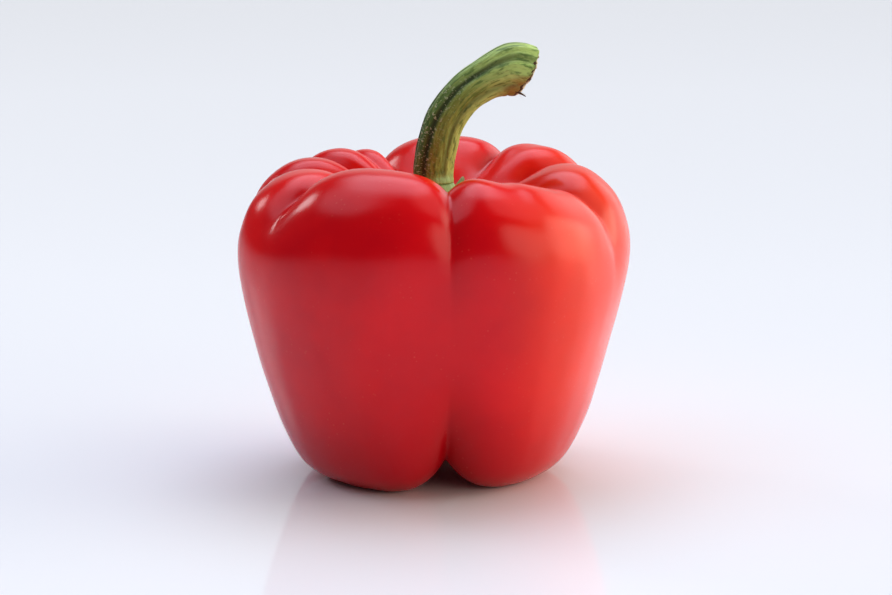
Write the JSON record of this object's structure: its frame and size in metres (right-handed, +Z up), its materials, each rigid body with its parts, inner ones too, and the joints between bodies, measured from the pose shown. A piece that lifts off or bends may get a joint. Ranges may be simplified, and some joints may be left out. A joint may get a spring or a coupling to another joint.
{
  "type": "bell pepper",
  "caption": "Blocky red bell pepper standing on its lobed foot, with a toothed green calyx in the stem hollow and a ribbed green stem that bends over.",
  "frame": {"origin": "centre of the bounding box in X and Y, on the surface the pepper stands on", "axes": "+Z up through the fruit towards the stem, +X the way the cut end of the stem points, -Y the front with the deep groove"},
  "size_m": [0.0874, 0.0854, 0.0967],
  "materials": {
    "pepper_skin": "glossy waxy red skin",
    "calyx_green": "satin light green",
    "stem_green": "matt ribbed green, browning at the cut"
  },
  "bodies": {
    "root": {"fruit": "pepper_skin", "calyx": "calyx_green", "stem": "stem_green"}
  },
  "joints": []
}
